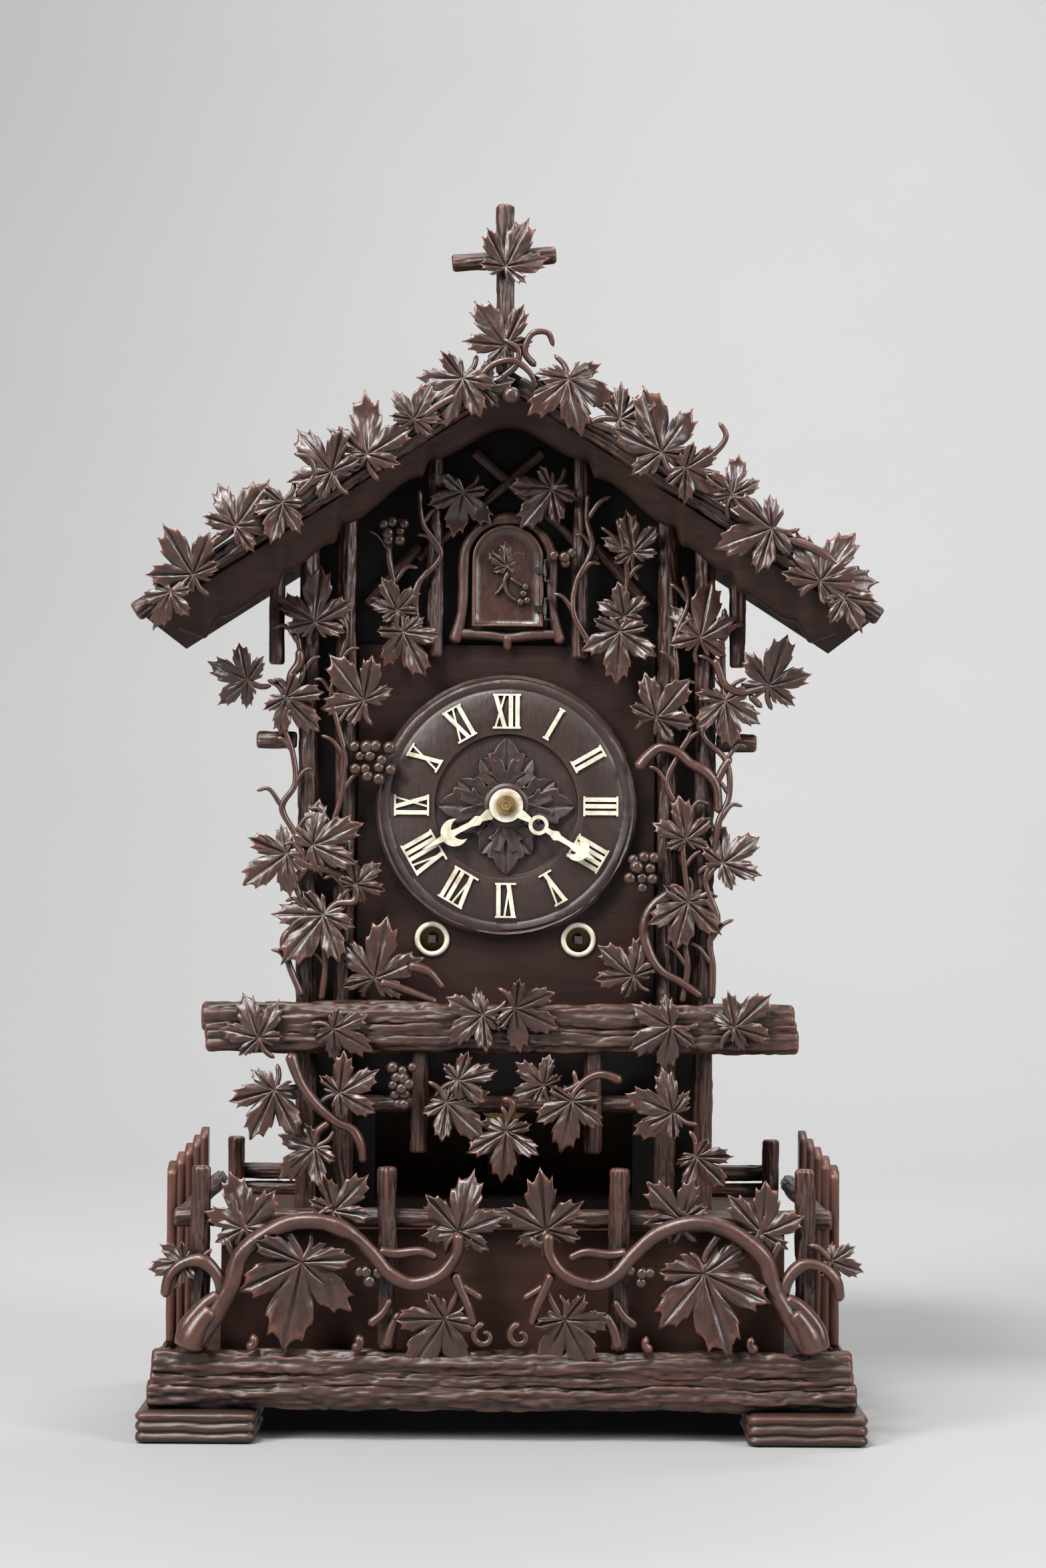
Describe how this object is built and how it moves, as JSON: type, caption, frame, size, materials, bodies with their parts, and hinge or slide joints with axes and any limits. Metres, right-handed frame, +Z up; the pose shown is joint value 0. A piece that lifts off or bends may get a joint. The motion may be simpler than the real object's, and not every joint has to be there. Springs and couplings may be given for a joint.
{
  "type": "mantel cuckoo clock",
  "caption": "Carved wooden mantel clock shaped like a gabled vine-grown log hut, with dial, hands, cuckoo door, pendulum and spring-driven movement, on a fenced plinth.",
  "frame": {"origin": "on the ground under the middle of the base", "axes": "+X to the clock's right seen from the front, +Y to its back, +Z up"},
  "size_m": [0.342, 0.2108, 0.56],
  "materials": {
    "carved_wood": "dark brown stained and waxed carving with worn reddish edges",
    "smooth_wood": "near-black stained and waxed boards",
    "pale_wood": "plain limewood",
    "bone": "aged bone with brown edges",
    "brass": "dull aged brass",
    "steel_wire": "dark steel",
    "painted_bird": "painted wood"
  },
  "bodies": {
    "case": {"back_frame": "smooth_wood", "back_hardware": "brass", "base_box": "smooth_wood", "bellows_boxes": "smooth_wood", "case_shelves": "smooth_wood", "case_sides": "smooth_wood", "column_foliage": "carved_wood", "column_logs": "carved_wood", "dial_ring": "smooth_wood", "dial_rosette": "carved_wood", "door_pins": "steel_wire", "door_surround": "carved_wood", "feet": "carved_wood", "fence_foliage": "carved_wood", "fence_pickets": "carved_wood", "fence_posts": "carved_wood", "fence_rails": "carved_wood", "finial_cross": "carved_wood", "front_board": "smooth_wood", "gable_board": "smooth_wood", "gable_foliage": "carved_wood", "gong": "steel_wire", "ledge_foliage": "carved_wood", "ledge_logs": "carved_wood", "movement_frame": "brass", "numerals": "bone", "plinth_logs": "carved_wood", "roof_edge_logs": "carved_wood", "roof_foliage": "carved_wood", "roof_panels": "smooth_wood", "screen_logs": "carved_wood", "sound_brackets": "smooth_wood", "winding_bezels": "bone"},
    "hour": {"hour_hand": "bone", "hour_wheel": "brass"},
    "minute": {"minute_hand": "bone", "minute_pipe": "brass"},
    "motion": {"motion_wheel": "brass"},
    "third": {"third_wheel": "brass"},
    "centre": {"centre_wheel": "brass"},
    "escape": {"escape_wheel": "brass"},
    "second": {"second_wheel": "brass"},
    "time_barrel": {"time_great_wheel": "brass"},
    "time_arbor": {"winding_arbor_right": "steel_wire"},
    "pendulum": {"pendulum_rod": "pale_wood", "pendulum_bob": "brass"},
    "pin": {"pin_wheel": "brass"},
    "strike_barrel": {"strike_great_wheel": "brass"},
    "fly": {"fly": "brass"},
    "strike_arbor": {"winding_arbor_left": "steel_wire"},
    "hammer": {"hammer": "steel_wire"},
    "bellows_left": {"bellows_lid_left": "smooth_wood"},
    "bellows_right": {"bellows_lid_right": "smooth_wood"},
    "cuckoo_door": {"cuckoo_door": "carved_wood", "door_loops": "steel_wire"},
    "bird": {"bird": "painted_bird"},
    "back_door": {"back_door": "smooth_wood", "back_hinge_leaves": "brass"},
    "latch": {"latch_button": "brass"}
  },
  "joints": [
    {"name": "minute_spin", "type": "hinge", "parent": "case", "child": "minute", "pos_m": [0, 0, 0.286], "axis": [0, 1, 0], "continuous": true},
    {"name": "motion_spin", "type": "hinge", "parent": "case", "child": "motion", "pos_m": [0.012, 0, 0.286], "axis": [0, 1, 0], "continuous": true},
    {"name": "hour_spin", "type": "hinge", "parent": "case", "child": "hour", "pos_m": [0, 0, 0.286], "axis": [0, 1, 0], "continuous": true},
    {"name": "third_spin", "type": "hinge", "parent": "case", "child": "third", "pos_m": [-0.0121, 0, 0.30696], "axis": [0, 1, 0], "continuous": true},
    {"name": "centre_spin", "type": "hinge", "parent": "case", "child": "centre", "pos_m": [0, 0, 0.286], "axis": [0, 1, 0], "continuous": true},
    {"name": "escape_spin", "type": "hinge", "parent": "case", "child": "escape", "pos_m": [0, 0, 0.32792], "axis": [0, 1, 0], "continuous": true},
    {"name": "second_spin", "type": "hinge", "parent": "case", "child": "second", "pos_m": [0.01827, 0, 0.25638], "axis": [0, 1, 0], "continuous": true},
    {"name": "time_barrel_spin", "type": "hinge", "parent": "case", "child": "time_barrel", "pos_m": [0.034, 0, 0.224], "axis": [0, 1, 0], "continuous": true},
    {"name": "time_winding", "type": "hinge", "parent": "case", "child": "time_arbor", "pos_m": [0.034, 0, 0.224], "axis": [0, 1, 0], "continuous": true},
    {"name": "pendulum_swing", "type": "hinge", "parent": "case", "child": "pendulum", "pos_m": [0, 0, 0.35052], "axis": [0, 1, 0], "range_deg": [-3.5, 3.5]},
    {"name": "pin_spin", "type": "hinge", "parent": "case", "child": "pin", "pos_m": [-0.03776, 0, 0.2598], "axis": [0, 1, 0], "continuous": true},
    {"name": "strike_barrel_spin", "type": "hinge", "parent": "case", "child": "strike_barrel", "pos_m": [-0.034, 0, 0.224], "axis": [0, 1, 0], "continuous": true},
    {"name": "fly_spin", "type": "hinge", "parent": "case", "child": "fly", "pos_m": [-0.03546, 0, 0.28168], "axis": [0, 1, 0], "continuous": true},
    {"name": "strike_winding", "type": "hinge", "parent": "case", "child": "strike_arbor", "pos_m": [-0.034, 0, 0.224], "axis": [0, 1, 0], "continuous": true},
    {"name": "hammer_lift", "type": "hinge", "parent": "case", "child": "hammer", "pos_m": [0.044, 0.025, 0.196], "axis": [0, 1, 0], "range_deg": [-8, 4], "stiffness_Nm_per_rad": 0.02},
    {"name": "bellows_left_lift", "type": "hinge", "parent": "case", "child": "bellows_left", "pos_m": [-0.0235, 0.039, 0.3724], "axis": [0, 1, 0], "range_deg": [0, 9]},
    {"name": "bellows_right_lift", "type": "hinge", "parent": "case", "child": "bellows_right", "pos_m": [0.0235, 0.039, 0.3724], "axis": [0, -1, 0], "range_deg": [0, 9]},
    {"name": "cuckoo_door_swing", "type": "hinge", "parent": "case", "child": "cuckoo_door", "pos_m": [0.0173, -0.0606, 0.39], "axis": [0, 0, 1], "range_deg": [0, 80]},
    {"name": "bird_slide", "type": "slide", "parent": "case", "child": "bird", "axis": [0, -1, 0], "range_m": [0, 0.021]},
    {"name": "back_door_swing", "type": "hinge", "parent": "case", "child": "back_door", "pos_m": [-0.066, 0.0776, 0.27], "axis": [0, 0, 1], "range_deg": [0, 100]},
    {"name": "latch_turn", "type": "hinge", "parent": "case", "child": "latch", "pos_m": [0.074, 0.078, 0.272], "axis": [0, 1, 0], "range_deg": [0, 90]}
  ],
  "couplings": [
    {"joint": "motion_spin", "follows": "minute_spin", "ratio": -0.33333},
    {"joint": "hour_spin", "follows": "minute_spin", "ratio": 0.083333},
    {"joint": "centre_spin", "follows": "third_spin", "ratio": -0.1},
    {"joint": "escape_spin", "follows": "third_spin", "ratio": -10},
    {"joint": "second_spin", "follows": "third_spin", "ratio": 0.016},
    {"joint": "time_barrel_spin", "follows": "third_spin", "ratio": -0.002},
    {"joint": "strike_barrel_spin", "follows": "pin_spin", "ratio": -0.125},
    {"joint": "fly_spin", "follows": "pin_spin", "ratio": -10},
    {"joint": "bird_slide", "follows": "cuckoo_door_swing", "m_per_rad": 0.01504}
  ]
}
